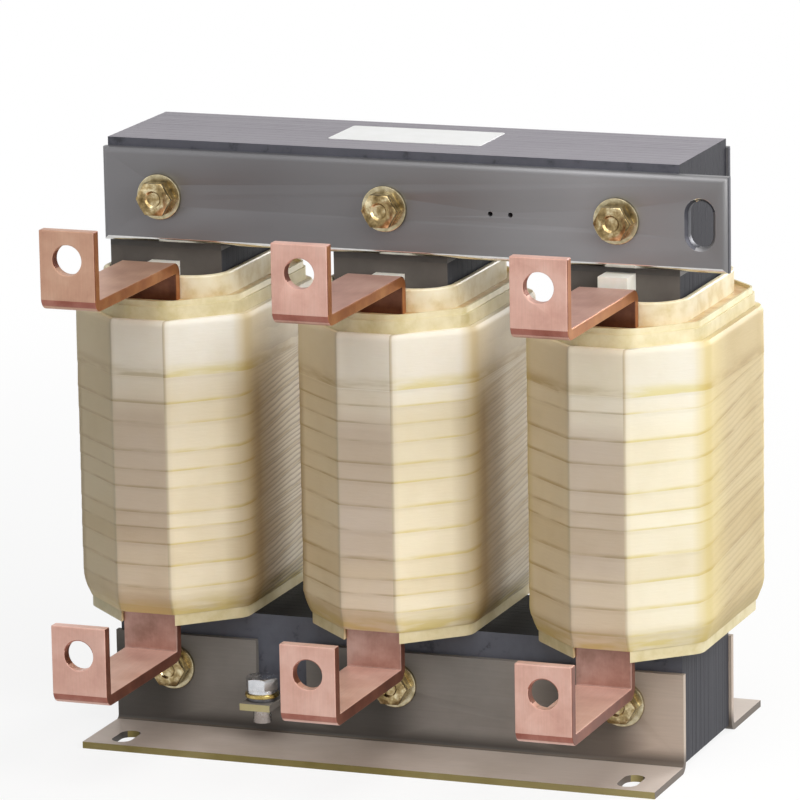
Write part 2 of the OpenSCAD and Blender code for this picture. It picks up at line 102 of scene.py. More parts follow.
# Electrical steel, punched, stacked and dipped in varnish: dull grey, each sheet edge a shade of its own
def varnishedCoreSteel(name, sheetStops, stainStops, roughness, sheen, sheetMm=1.0, stainMm=38.0, gritMm=1.2):
    # real sheets are 0.5 mm; drawn in pairs of 1 mm so that they show in the render
    material, tree, shader = startMaterial(name, {"Specular IOR Level": sheen})
    place = addNode(tree, "ShaderNodeTexCoord")
    axes = addNode(tree, "ShaderNodeSeparateXYZ", None, {0: place.outputs["Object"]})
    sheet = addNode(tree, "ShaderNodeMath", {"operation": "SNAP"}, {0: axes.outputs["Y"], 1: sheetMm * mm})
    tone = addNode(tree, "ShaderNodeTexWhiteNoise", {"noise_dimensions": "1D"}, {"W": sheet.outputs[0]})
    cloud = addNode(tree, "ShaderNodeTexNoise", None,
                    {"Vector": place.outputs["Object"], "Scale": perMetre(stainMm),
                     "Detail": 5.0, "Roughness": 0.62})
    sheetColour = addNode(tree, "ShaderNodeValToRGB", {"stops": sheetStops}, {0: tone.outputs["Value"]})
    stain = addNode(tree, "ShaderNodeValToRGB", {"stops": stainStops}, {0: cloud.outputs["Fac"]})
    colour = addNode(tree, "ShaderNodeMix", {"data_type": "RGBA"},
                     {0: 0.55, 6: sheetColour.outputs[0], 7: stain.outputs[0]})
    rough = addNode(tree, "ShaderNodeMapRange", None,
                    {"Value": cloud.outputs["Fac"], "To Min": roughness - 0.08, "To Max": roughness + 0.08})
    grit = addNode(tree, "ShaderNodeTexNoise", None,
                   {"Vector": place.outputs["Object"], "Scale": perMetre(gritMm), "Detail": 3.0})
    bump = addNode(tree, "ShaderNodeBump", None,
                   {"Strength": 0.15, "Distance": 0.15 * mm, "Height": grit.outputs["Fac"]})
    linkFinish(tree, shader, colour.outputs[2], rough.outputs[0], bump.outputs[0])
    return material


# painted light: the bars' grey is lighter towards the right, as the key lamp lights that end more
clampLightDrift = {  # tones along the clamp bars, from the left end to the tip of the lug
    "spanMm": (-131.0, 152.0),
    "stops": [(0.0, "#7f7e80"), (0.28, "#757476"), (0.57, "#7b7a7b"), (0.78, "#929193"), (1.0, "#7e7d7e")],
}


# Flat steel bar, hot rolled and galvanised: satin grey, painted lighter towards the right end where the light
# falls, with faint drawn streaks
def galvanisedBar(streakMm=0.9, cloudMm=55.0):
    material, tree, shader = startMaterial("galvanisedBar", {"Metallic": 0.6})
    place = addNode(tree, "ShaderNodeTexCoord")
    drawn = addNode(tree, "ShaderNodeMapping", None,
                    {"Vector": place.outputs["Object"], "Scale": (0.03, 1.0, 1.0)})
    streak = addNode(tree, "ShaderNodeTexNoise", None,
                     {"Vector": drawn.outputs[0], "Scale": perMetre(streakMm),
                      "Detail": 4.0, "Roughness": 0.6})
    cloud = addNode(tree, "ShaderNodeTexNoise", None,
                    {"Vector": place.outputs["Object"], "Scale": perMetre(cloudMm), "Detail": 3.0})
    axes = addNode(tree, "ShaderNodeSeparateXYZ", None, {0: place.outputs["Object"]})
    left, right = clampLightDrift["spanMm"]
    along = addNode(tree, "ShaderNodeMapRange", None,
                    {"Value": axes.outputs["X"], "From Min": left * mm, "From Max": right * mm})
    colour = addNode(tree, "ShaderNodeValToRGB", {"stops": clampLightDrift["stops"]}, {0: along.outputs[0]})
    tint = addNode(tree, "ShaderNodeMix", {"data_type": "RGBA", "blend_type": "MULTIPLY"},
                   {0: 0.12, 6: colour.outputs[0], 7: cloud.outputs["Fac"]})
    rough = addNode(tree, "ShaderNodeMapRange", None,
                    {"Value": streak.outputs["Fac"], "To Min": 0.38, "To Max": 0.48})
    bump = addNode(tree, "ShaderNodeBump", None,
                   {"Strength": 0.04, "Distance": 0.1 * mm, "Height": streak.outputs["Fac"]})
    linkFinish(tree, shader, tint.outputs[2], rough.outputs[0], bump.outputs[0])
    return material


# stretches over which the brackets' painted light and shade change: lighter along X, painted shade above the
# fold, painted shadow round and below each lower bar
bracketMarks = {"litEndMm": (40.0, 118.0), "foldMm": (4.0, 12.0), "barPitchMm": 104.0, "shadowLeftMm": 16.0,
                "shadowMm": (10.0, 34.0), "shadowTopMm": (32.0, 50.0), "paintedShade": "#2a2622"}


# Folded steel sheet, zinc plated with a warm passivation: olive brown grey, cloudy, half gloss
# its third argument is the tone painted at its right end, as light falls there; the fourth is how dark the
# shade painted above the fold is, the fifth how dark the shadow is that is painted left of and below each
# lower bar, as the bars cast it
def passivatedSheet(name, stops, litEndTone=None, foldShade=0.0, barShadow=0.0, cloudMm=30.0, grainMm=0.8):
    material, tree, shader = startMaterial(name, {"Metallic": 0.2, "Specular IOR Level": 0.3})
    place = addNode(tree, "ShaderNodeTexCoord")
    cloud = addNode(tree, "ShaderNodeTexNoise", None,
                    {"Vector": place.outputs["Object"], "Scale": perMetre(cloudMm),
                     "Detail": 5.0, "Roughness": 0.55})
    drawn = addNode(tree, "ShaderNodeMapping", None,
                    {"Vector": place.outputs["Object"], "Scale": (0.05, 1.0, 1.0)})
    grain = addNode(tree, "ShaderNodeTexNoise", None,
                    {"Vector": drawn.outputs[0], "Scale": perMetre(grainMm), "Detail": 3.0})
    colour = addNode(tree, "ShaderNodeValToRGB", {"stops": stops}, {0: cloud.outputs["Fac"]})
    axes = addNode(tree, "ShaderNodeSeparateXYZ", None, {0: place.outputs["Object"]})
    start, end = bracketMarks["litEndMm"]
    along = addNode(tree, "ShaderNodeMapRange", {"interpolation_type": "SMOOTHSTEP"},
                    {"Value": axes.outputs["X"], "From Min": start * mm, "From Max": end * mm})
    drift = addNode(tree, "ShaderNodeMix", {"data_type": "RGBA"},
                    {0: along.outputs[0], 6: colour.outputs[0], 7: linear(litEndTone or stops[-1][1])})
    start, end = bracketMarks["foldMm"]
    fold = addNode(tree, "ShaderNodeMapRange", {"interpolation_type": "SMOOTHSTEP"},
                   {"Value": axes.outputs["Z"], "From Min": start * mm, "From Max": end * mm,
                    "To Min": foldShade, "To Max": 0.0})
    # distance from a line left of the nearest bar, where the painted shadow is centred, the bars standing one
    # pitch apart
    beside = addNode(tree, "ShaderNodeMath", {"operation": "ADD"},
                     {0: axes.outputs["X"], 1: bracketMarks["shadowLeftMm"] * mm})
    away = addNode(tree, "ShaderNodeMath", {"operation": "PINGPONG"},
                   {0: beside.outputs[0], 1: bracketMarks["barPitchMm"] / 2 * mm})
    start, end = bracketMarks["shadowMm"]
    near = addNode(tree, "ShaderNodeMapRange", {"interpolation_type": "SMOOTHSTEP"},
                   {"Value": away.outputs[0], "From Min": start * mm, "From Max": end * mm,
                    "To Min": barShadow, "To Max": 0.0})
    start, end = bracketMarks["shadowTopMm"]
    below = addNode(tree, "ShaderNodeMapRange", {"interpolation_type": "SMOOTHSTEP"},
                    {"Value": axes.outputs["Z"], "From Min": start * mm, "From Max": end * mm,
                     "To Min": 1.0, "To Max": 0.0})
    barShade = addNode(tree, "ShaderNodeMath", {"operation": "MULTIPLY"},
                      {0: near.outputs[0], 1: below.outputs[0]})
    paintedShade = addNode(tree, "ShaderNodeMath", {"operation": "MAXIMUM"},
                   {0: fold.outputs[0], 1: barShade.outputs[0]})
    shadowed = addNode(tree, "ShaderNodeMix", {"data_type": "RGBA"},
                    {0: paintedShade.outputs[0], 6: drift.outputs[2], 7: linear(bracketMarks["paintedShade"])})
    shade = addNode(tree, "ShaderNodeMix", {"data_type": "RGBA", "blend_type": "MULTIPLY"},
                    {0: 0.15, 6: shadowed.outputs[2], 7: grain.outputs["Fac"]})
    rough = addNode(tree, "ShaderNodeMapRange", None,
                    {"Value": cloud.outputs["Fac"], "To Min": 0.44, "To Max": 0.56})
    bump = addNode(tree, "ShaderNodeBump", None,
                   {"Strength": 0.1, "Distance": 0.1 * mm, "Height": grain.outputs["Fac"]})
    linkFinish(tree, shader, shade.outputs[2], rough.outputs[0], bump.outputs[0])
    return material


# Plated steel, rolled bar edges, sawn ends and stamped brass: metal with soft cloudy colour, fine scuffs
def platedSteel(name, stops, roughness, cloudMm=4.0, scuffMm=0.7):
    material, tree, shader = startMaterial(name, {"Metallic": 1.0})
    place = addNode(tree, "ShaderNodeTexCoord")
    cloud = addNode(tree, "ShaderNodeTexNoise", None,
                    {"Vector": place.outputs["Object"], "Scale": perMetre(cloudMm),
                     "Detail": 4.0, "Roughness": 0.6})
    colour = addNode(tree, "ShaderNodeValToRGB", {"stops": stops}, {0: cloud.outputs["Fac"]})
    rough = addNode(tree, "ShaderNodeMapRange", None,
                    {"Value": cloud.outputs["Fac"], "To Min": roughness - 0.06, "To Max": roughness + 0.1})
    scuff = addNode(tree, "ShaderNodeTexNoise", None,
                    {"Vector": place.outputs["Object"], "Scale": perMetre(scuffMm), "Detail": 2.0})
    bump = addNode(tree, "ShaderNodeBump", None,
                   {"Strength": 0.12, "Distance": 0.1 * mm, "Height": scuff.outputs["Fac"]})
    linkFinish(tree, shader, colour.outputs[0], rough.outputs[0], bump.outputs[0])
    return material


# Electrolytic copper bar, drawn, bent and left bare: matt salmon pink, darker tarnish in soft patches
def bareCopper(name, stops, roughness, patchMm=14.0, drawMm=0.7):
    material, tree, shader = startMaterial(name, {"Metallic": 0.65})
    place = addNode(tree, "ShaderNodeTexCoord")
    patch = addNode(tree, "ShaderNodeTexNoise", None,
                    {"Vector": place.outputs["Object"], "Scale": perMetre(patchMm),
                     "Detail": 5.0, "Roughness": 0.6})
    drawn = addNode(tree, "ShaderNodeMapping", None,
                    {"Vector": place.outputs["Object"], "Scale": (1.0, 0.06, 0.06)})
    line = addNode(tree, "ShaderNodeTexNoise", None,
                   {"Vector": drawn.outputs[0], "Scale": perMetre(drawMm), "Detail": 3.0})
    colour = addNode(tree, "ShaderNodeValToRGB", {"stops": stops}, {0: patch.outputs["Fac"]})
    shade = addNode(tree, "ShaderNodeMix", {"data_type": "RGBA", "blend_type": "MULTIPLY"},
                    {0: 0.16, 6: colour.outputs[0], 7: line.outputs["Fac"]})
    rough = addNode(tree, "ShaderNodeMapRange", None,
                    {"Value": patch.outputs["Fac"], "To Min": roughness - 0.07, "To Max": roughness + 0.07})
    bump = addNode(tree, "ShaderNodeBump", None,
                   {"Strength": 0.12, "Distance": 0.1 * mm, "Height": line.outputs["Fac"]})
    linkFinish(tree, shader, shade.outputs[2], rough.outputs[0], bump.outputs[0])
    return material


# tints of each coil's tape: flats over the bars greyer, resin round the broad corners; left slopes painted
# darker as shade, the inner coils' sides painted lighter than the right coil's outer side, as light thrown
# between the coils, their broad corners painted dark as the neighbour's shadow as well as resin;
# top holds the lighter tints of the last broad turn, painted light, fine how much the tape's own edges show
# on the sides, fade where a slope's painted shade towards its corner starts, edgeAt how far past that corner
# it is darkest
tapeTones = {"shade": "#efe2c9", "crease": "#d8cfbf", "edge": "#a9936b", "side": "#fdfaf5", "fine": "#ffffff",
             "edgeAt": 0.24}
coilTones = {
    "left": {**tapeTones, "flat": "#f0e7dc", "slope": "#f6efde", "fade": 0.8,
             "top": {"flat": "#fffcf8", "slope": "#ffffff", "edge": "#e6d9bb"}},
    "centre": {**tapeTones, "flat": "#f5ede4", "slope": "#f8f2e0", "fine": "#cccccc", "fade": 0.84,
               "top": {"flat": "#fffdfa", "slope": "#ffffff", "edge": "#e6d9bb"}},
    "right": {**tapeTones, "flat": "#efe8df", "slope": "#f4f0e2", "edge": "#e4d7a6", "side": "#cdbe9a",
              "fine": "#8c8c8c", "fade": 0.94, "edgeAt": 0.1,
              "top": {"flat": "#fffdf6", "slope": "#f3f4f4", "edge": "#e9ddb0"}},
}
lineTones = {"flat": "#c2b491", "slope": "#e0d28a", "shade": "#bda674", "side": "#c4b086",
             "crease": "#b9a676", "edge": "#d8c57c"}
black = dict.fromkeys(lineTones, "#000000")
tape = {  # pattern sizes and the heights between which the tape's finish changes
    "softMm": 26.0,
    "brokenMm": 5.0,
    "weaveMm": 1.6,
    "footMm": (61.0, 72.0),
    "topMm": (148.0, 180.0),
    "pressedMm": (60.0, 190.0),
    "edgesPerLap": 4.0,
    "footResin": "#e0d07e",
    "fineEdge": "#a08f7b",
}


# ramp stops round the coil, from the corner right of the front flat: each corner, then the face after it
def roundCoil(tones, fade=0.96, edgeAt=0.1):
    order = [("crease", "slope"), ("edge", "side"), ("edge", "slope"), ("crease", "flat"),
             ("crease", "shade"), ("edge", "side"), ("edge", "shade"), ("crease", "flat")]
    stops = []
    for i, (corner, face) in enumerate(order):
        at, begin = (edgeAt, edgeAt + 0.35) if face == "side" else (0.1, 0.24)
        end = fade if face == "slope" else 0.96
        stops += [((i + at) / 8, tones[corner]), ((i + begin) / 8, tones[face]), ((i + end) / 8, tones[face])]
    return stops


# Polyester tape lapped round the coil and cured in resin: cream, yellow where resin gathers along each lap
# the wrap's map holds the way round the coil in u (an eighth for each face) and the lap in v
def lappedTape(name, tones):
    material, tree, shader = startMaterial(name, {
        "IOR": 1.5, "Subsurface Weight": 0.08, "Subsurface Radius": (2.0 * mm, 1.4 * mm, 0.8 * mm),
        "Subsurface Scale": 1.0})
    place = addNode(tree, "ShaderNodeTexCoord")
    laps = addNode(tree, "ShaderNodeUVMap", {"uv_map": "wrapMap"})
    axes = addNode(tree, "ShaderNodeSeparateXYZ", None, {0: laps.outputs[0]})
    soft = addNode(tree, "ShaderNodeTexNoise", None,
                   {"Vector": place.outputs["Object"], "Scale": perMetre(tape["softMm"]),
                    "Detail": 4.0, "Roughness": 0.55})
    long = addNode(tree, "ShaderNodeMapping", None,
                   {"Vector": place.outputs["Object"], "Scale": (0.25, 0.25, 1.6)})
    broken = addNode(tree, "ShaderNodeTexNoise", None,
                     {"Vector": long.outputs[0], "Scale": perMetre(tape["brokenMm"]), "Detail": 3.0})
    # each lap has its own shade
    turn = addNode(tree, "ShaderNodeMath", {"operation": "FLOOR"}, {0: axes.outputs["Y"]})
    shade = addNode(tree, "ShaderNodeTexWhiteNoise", {"noise_dimensions": "1D"}, {"W": turn.outputs[0]})
    body = addNode(tree, "ShaderNodeValToRGB",
                   {"stops": [(0.28, "#e9e0cb"), (0.5, "#f3ecdb"), (0.72, "#f7f2e6")]},
                   {0: soft.outputs["Fac"]})
    lapTone = addNode(tree, "ShaderNodeValToRGB", {"stops": [(0.0, "#e5dac4"), (1.0, "#f9f5eb")]},
                      {0: shade.outputs["Value"]})
    cloth = addNode(tree, "ShaderNodeMix", {"data_type": "RGBA"},
                    {0: 0.45, 6: body.outputs[0], 7: lapTone.outputs[0]})
    # resin line at the edge of each lap, thick and thin along its way
    within = addNode(tree, "ShaderNodeMath", {"operation": "FRACT"}, {0: axes.outputs["Y"]})
    edge = addNode(tree, "ShaderNodeMapRange", {"interpolation_type": "SMOOTHSTEP"},
                   {"Value": within.outputs[0], "From Min": 0.03, "From Max": 0.18,
                    "To Min": 1.0, "To Max": 0.0})
    patchy = addNode(tree, "ShaderNodeMapRange", None,
                     {"Value": broken.outputs["Fac"], "From Min": 0.34, "From Max": 0.56,
                      "To Min": 0.12, "To Max": 0.75})
    lap = addNode(tree, "ShaderNodeMath", {"operation": "MULTIPLY"},
                  {0: edge.outputs[0], 1: patchy.outputs[0]})
    # resin that ran down and set at the foot of the coil
    height = addNode(tree, "ShaderNodeSeparateXYZ", None, {0: place.outputs["Object"]})
    low, high = tape["footMm"]
    foot = addNode(tree, "ShaderNodeMapRange", {"interpolation_type": "SMOOTHSTEP"},
                   {"Value": height.outputs["Z"], "From Min": low * mm, "From Max": high * mm,
                    "To Min": 1.0, "To Max": 0.0})
    run = addNode(tree, "ShaderNodeMath", {"operation": "MULTIPLY"},
                  {0: foot.outputs[0], 1: patchy.outputs[0]})
    resin = addNode(tree, "ShaderNodeMath", {"operation": "MAXIMUM"}, {0: lap.outputs[0], 1: run.outputs[0]})
    lineTone = addNode(tree, "ShaderNodeValToRGB", {"stops": roundCoil(lineTones)}, {0: axes.outputs["X"]})
    resinTone = addNode(tree, "ShaderNodeMix", {"data_type": "RGBA"},
                        {0: foot.outputs[0], 6: lineTone.outputs[0], 7: linear(tape["footResin"])})
    lined = addNode(tree, "ShaderNodeMix", {"data_type": "RGBA"},
                    {0: resin.outputs[0], 6: cloth.outputs[2], 7: resinTone.outputs[2]})
    # the tape's own edges within each lap, seen as slanting stripes on the sides
    edges = addNode(tree, "ShaderNodeMath", {"operation": "MULTIPLY_ADD"},
                    {0: axes.outputs["Y"], 1: tape["edgesPerLap"], 2: soft.outputs["Fac"]})
    strip = addNode(tree, "ShaderNodeMath", {"operation": "FRACT"}, {0: edges.outputs[0]})
    stripe = addNode(tree, "ShaderNodeMapRange", {"interpolation_type": "SMOOTHSTEP"},
                     {"Value": strip.outputs[0], "From Min": 0.1, "From Max": 0.6,
                      "To Min": 0.6, "To Max": 0.0})
    fine = addNode(tree, "ShaderNodeValToRGB", {"stops": roundCoil({**black, "side": tones["fine"]})},
                   {0: axes.outputs["X"]})
    low, high = tape["topMm"]
    upper = addNode(tree, "ShaderNodeMapRange", {"interpolation_type": "SMOOTHSTEP"},
                    {"Value": height.outputs["Z"], "From Min": low * mm, "From Max": high * mm})
    plain = addNode(tree, "ShaderNodeMath", {"operation": "MULTIPLY_ADD"},
                    {0: upper.outputs[0], 1: -0.8, 2: 1.0})
    fineSide = addNode(tree, "ShaderNodeMath", {"operation": "MULTIPLY"},
                       {0: fine.outputs[0], 1: plain.outputs[0]})
    fineEdge = addNode(tree, "ShaderNodeMath", {"operation": "MULTIPLY"},
                       {0: fineSide.outputs[0], 1: stripe.outputs[0]})
    striped = addNode(tree, "ShaderNodeMix", {"data_type": "RGBA"},
                      {0: fineEdge.outputs[0], 6: lined.outputs[2], 7: linear(tape["fineEdge"])})
    # flats are greyest half way up, where the bar behind pressed them
    flats = addNode(tree, "ShaderNodeValToRGB", {"stops": roundCoil({**black, "flat": "#ffffff"})},
                    {0: axes.outputs["X"]})
    low, high = tape["pressedMm"]
    level = addNode(tree, "ShaderNodeMapRange", None,
                    {"Value": height.outputs["Z"], "From Min": low * mm, "From Max": high * mm})
    band = addNode(tree, "ShaderNodeValToRGB",
                   {"stops": [(0.2, "#f3eee7"), (0.28, "#e7e1de"), (0.68, "#e5dfdc"), (0.76, "#ffffff")]},
                   {0: level.outputs[0]})
    pressed = addNode(tree, "ShaderNodeMix", {"data_type": "RGBA", "blend_type": "MULTIPLY"},
                      {0: flats.outputs[0], 6: striped.outputs[2], 7: band.outputs[0]})
    # painted light and shade in the tints: lighter near the top, darker on the left slopes and towards the
    # inner coils' broad corners, lighter on their sides
    faceTone = addNode(tree, "ShaderNodeValToRGB",
                       {"stops": roundCoil(tones, tones["fade"], tones["edgeAt"])}, {0: axes.outputs["X"]})
    topTone = addNode(tree, "ShaderNodeValToRGB", {"stops": roundCoil({**tones, **tones["top"]})},
                      {0: axes.outputs["X"]})
    tint = addNode(tree, "ShaderNodeMix", {"data_type": "RGBA"},
                   {0: upper.outputs[0], 6: faceTone.outputs[0], 7: topTone.outputs[0]})
    toned = addNode(tree, "ShaderNodeMix", {"data_type": "RGBA", "blend_type": "MULTIPLY"},
                    {0: 1.0, 6: pressed.outputs[2], 7: tint.outputs[2]})
    weave = addNode(tree, "ShaderNodeTexNoise", None,
                    {"Vector": long.outputs[0], "Scale": perMetre(tape["weaveMm"]), "Detail": 3.0})
    bump = addNode(tree, "ShaderNodeBump", None,
                   {"Strength": 0.3, "Distance": 0.25 * mm, "Height": weave.outputs["Fac"]})
    rough = addNode(tree, "ShaderNodeMapRange", None,
                    {"Value": resin.outputs[0], "To Min": 0.62, "To Max": 0.36})
    linkFinish(tree, shader, toned.outputs[2], rough.outputs[0], bump.outputs[0])
    return material


# Insulating board, laminate and cast resin, dipped in varnish: cream, amber or dark grey, blotchy, half gloss
def varnishedBoard(name, stops, roughness, blotchMm=9.0, fibreMm=1.1):
    material, tree, shader = startMaterial(name, {
        "IOR": 1.5, "Subsurface Weight": 0.06, "Subsurface Radius": (2.0 * mm, 1.3 * mm, 0.7 * mm),
        "Subsurface Scale": 1.0})
    place = addNode(tree, "ShaderNodeTexCoord")
    blotch = addNode(tree, "ShaderNodeTexNoise", None,
                     {"Vector": place.outputs["Object"], "Scale": perMetre(blotchMm),
                      "Detail": 5.0, "Roughness": 0.58})
    colour = addNode(tree, "ShaderNodeValToRGB", {"stops": stops}, {0: blotch.outputs["Fac"]})
    fibre = addNode(tree, "ShaderNodeTexNoise", None,
                    {"Vector": place.outputs["Object"], "Scale": perMetre(fibreMm), "Detail": 3.0})
    rough = addNode(tree, "ShaderNodeMapRange", None,
                    {"Value": blotch.outputs["Fac"], "To Min": roughness - 0.1, "To Max": roughness + 0.1})
    bump = addNode(tree, "ShaderNodeBump", None,
                   {"Strength": 0.22, "Distance": 0.2 * mm, "Height": fibre.outputs["Fac"]})
    linkFinish(tree, shader, colour.outputs[0], rough.outputs[0], bump.outputs[0])
    return material


# Self-adhesive polyester film, white and unprinted: even, with a faint satin
def whiteFilm(rippleMm=12.0):
    material, tree, shader = startMaterial("whiteFilm", {"IOR": 1.55})
    place = addNode(tree, "ShaderNodeTexCoord")
    ripple = addNode(tree, "ShaderNodeTexNoise", None,
                     {"Vector": place.outputs["Object"], "Scale": perMetre(rippleMm), "Detail": 2.0})
    colour = addNode(tree, "ShaderNodeValToRGB", {"stops": [(0.3, "#f0f0ee"), (0.7, "#f6f6f5")]},
                     {0: ripple.outputs["Fac"]})
    rough = addNode(tree, "ShaderNodeMapRange", None,
                    {"Value": ripple.outputs["Fac"], "To Min": 0.36, "To Max": 0.46})
    tree.links.new(colour.outputs[0], shader.inputs["Base Color"])
    tree.links.new(rough.outputs[0], shader.inputs["Roughness"])
    return material


yokeTop = varnishedCoreSteel("varnishedSheetEdges", [(0.0, "#87828a"), (1.0, "#8d8990")],
                             [(0.3, "#817c84"), (0.65, "#949096")], 0.46, 0.28)
yokeEnd = varnishedCoreSteel("varnishedSheetEnds", [(0.0, "#3b3b40"), (1.0, "#47474c")],
                             [(0.3, "#39393e"), (0.65, "#49494d")], 0.55, 0.08)
# painted shade: a dark copy of the sheet finish, for the limbs' sides in the gaps and the upper yoke's ends
sheetsInShade = varnishedCoreSteel("varnishedSheetPaintedShade", [(0.0, "#25252a"), (1.0, "#2d2d32")],
                              [(0.3, "#222227"), (0.65, "#303035")], 0.55, 0.08)
# painted shade: near black, for the lower yoke's top between the coils, where the shade is deep
sheetsInDeepShade = varnishedCoreSteel("sheetsPaintedBlackInShade", [(0.0, "#0c0b0c"), (1.0, "#131214")],
                              [(0.3, "#0a0a0b"), (0.65, "#151416")], 0.5, 0.04)
yokeFace = varnishedCoreSteel("varnishedSheetFace", [(0.0, "#505158"), (1.0, "#505158")],
                              [(0.36, "#1f1f23"), (0.44, "#57575f"), (0.7, "#64646e")],
                              0.4, 0.3, stainMm=11.0)
# painted light: a lighter, bluer copy of the broad sheet face, for the lower yoke's front, as light reflected
# from below
yokeFrontLit = varnishedCoreSteel("varnishedSheetFrontLit", [(0.0, "#595b64"), (1.0, "#595b64")],
                               [(0.34, "#26262b"), (0.42, "#5f626c"), (0.7, "#6c707c")],
                               0.4, 0.3, stainMm=11.0)
limbFace = varnishedCoreSteel("varnishedLimb", [(0.0, "#625d58"), (1.0, "#6a645f")],
                              [(0.3, "#544f4b"), (0.65, "#6f6963")], 0.5, 0.2, stainMm=24.0)
clampSteel = galvanisedBar()
# painted highlight: the rolled lower edge is smooth zinc, but its colour is painted much lighter than the
# bar's to stand for the light it reflects
clampEdgeHighlight = platedSteel("rolledZincEdgeHighlight", [(0.3, "#c9c8c6"), (0.7, "#dcdbd8")], 0.14)
# sawn ends, dark; the same dark colour is painted on the slot's left wall as shade
clampEndAndShade = platedSteel("sawnBarEndAndSlotShade", [(0.3, "#414146"), (0.7, "#505055")], 0.5)
legStops = [(0.25, "#807b75"), (0.5, "#8a857f"), (0.75, "#948e88")]
# the legs: painted lighter towards the right end and darker above the fold, as light and shade fall; the
# front leg also takes a painted shadow left of and below each lower bar
bracketLeg = passivatedSheet("passivatedLeg", legStops, "#c5b4a5", 0.75, 0.7)
bracketRear = passivatedSheet("passivatedRearLeg", legStops, "#c5b4a5", 0.75)
# painted light and shade: the flange is a paler copy of the legs' finish, as lit from above, the fold's
# inside a dark copy, as shade
bracketFlangeLit = passivatedSheet("passivatedFlangeLit", [(0.25, "#c2b5a9"), (0.5, "#cdc0b5"), (0.75, "#d7cbc1")])
bracketCreaseShade = passivatedSheet("passivatedCreaseShade", [(0.25, "#5c544a"), (0.5, "#675e54"), (0.75, "#73695f")])
bracketEdge = passivatedSheet("shearedSheetEdge", [(0.25, "#7d703a"), (0.5, "#94864f"), (0.75, "#a69866")])
tongueEdge = passivatedSheet("sawnTongueEdge", [(0.25, "#c3b784"), (0.5, "#d3c898"), (0.75, "#e0d7ae")])
yellowZinc = platedSteel("yellowChromateZinc", [(0.3, "#5f4e30"), (0.5, "#9d8860"), (0.7, "#dccfaa")], 0.2)
washerZinc = platedSteel("yellowChromateWasher", [(0.3, "#8a7f62"), (0.5, "#afa383"), (0.7, "#cec4a7")], 0.22)
brightZinc = platedSteel("brightZinc", [(0.3, "#c4c6ca"), (0.7, "#dcdde0")], 0.24)
darkZinc = platedSteel("oiledToothSteel", [(0.3, "#5c5c5f"), (0.7, "#808084")], 0.34)
stampedBrass = platedSteel("stampedBrass", [(0.3, "#a58d4c"), (0.7, "#cdb878")], 0.26)
copperFace = bareCopper("drawnCopperFace", [(0.25, "#d09f8f"), (0.5, "#dfb1a1"), (0.75, "#e9c1b2")], 0.44)
copperEdge = bareCopper("shearedCopperEdge", [(0.25, "#96532f"), (0.5, "#ad6c3d"), (0.75, "#c48a58")], 0.38)
# tarnish on the tabs' sides; on the lower runs' sides the same dark colour is painted shade under the runs
copperTarnishAndShade = bareCopper("tarnishedAndShadedCopperEdge", [(0.25, "#66392b"), (0.5, "#7d4a39"), (0.75, "#96604c")], 0.4)
# painted reflection: the upper part of each tab's bend is painted dark, as the dark ground it mirrors
copperBendShade = bareCopper("copperBendPaintedDark", [(0.25, "#8a4a3a"), (0.5, "#a8695a"), (0.75, "#bb8272")], 0.36)
copperBrown = bareCopper("tarnishedCopperFace",
                         [(0.25, "#bf9079"), (0.5, "#cda188"), (0.75, "#d7af96")], 0.44)
# painted light: the lower runs' tops are painted lighter, as light falls on them
copperRunLit = bareCopper("copperRunPaintedLight", [(0.25, "#e3b7a9"), (0.5, "#efc7b9"), (0.75, "#f6d4c8")], 0.46)
# painted shade: the legs behind and under the bars are painted dark, the lower bars' legs brown and the upper
# bars' roots near black
copperLegShade = bareCopper("copperLegPaintedShade", [(0.3, "#8c6a5d"), (0.5, "#a78377"), (0.7, "#b9988c")], 0.36)
copperRootShadow = bareCopper("copperRootPaintedShadow", [(0.3, "#4a2a1d"), (0.5, "#5f3826"), (0.7, "#774b35")], 0.36)
tapes = {side: lappedTape("lappedTape" + side.capitalize(), coilTones[side]) for side in coils}
sleeveBoard = varnishedBoard("varnishedSleeve", [(0.3, "#c9ba88"), (0.55, "#d8cba3"), (0.8, "#e1d6b5")], 0.5)
formerBoard = varnishedBoard("varnishedFormer", [(0.3, "#cfbc8c"), (0.55, "#e3d7b7"), (0.8, "#e9e0c8")], 0.45)
marginBoard = varnishedBoard("varnishedMargin", [(0.3, "#b98d56"), (0.55, "#d8bd8a"), (0.8, "#e6d6ac")], 0.5)
spacerBoard = varnishedBoard("pressedSpacerBoard", [(0.3, "#4c4946"), (0.7, "#5d5955")], 0.55)
wedgeResin = varnishedBoard("castWedge", [(0.3, "#ece6d6"), (0.7, "#f6f3ea")], 0.4)
foilCopper = bareCopper("woundFoil", [(0.3, "#8f5a3c"), (0.7, "#b4785a")], 0.4)
label = whiteFilm()
print("materials:", len(bpy.data.materials))


# a CAD node keeps its mesh and takes a finish
def finishNode(name, material):
    nodes[name].data.materials.clear()
    nodes[name].data.materials.append(material)


# a new piece: rides on the body and stands for its nodes
def addPiece(name, mesh, materials, slotName, *replaced):
    piece = bpy.data.objects.new(name, mesh)
    scene.collection.objects.link(piece)
    for material in materials:
        mesh.materials.append(material)
    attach(piece, "root")
    if replaced:
        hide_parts(*replaced)
    return piece


# smooth faces, hard at edges over an angle
def shadeSmooth(mesh, hardDeg=32):
    mesh.shade_smooth()
    mesh.set_sharp_from_angle(angle=math.radians(hardDeg))


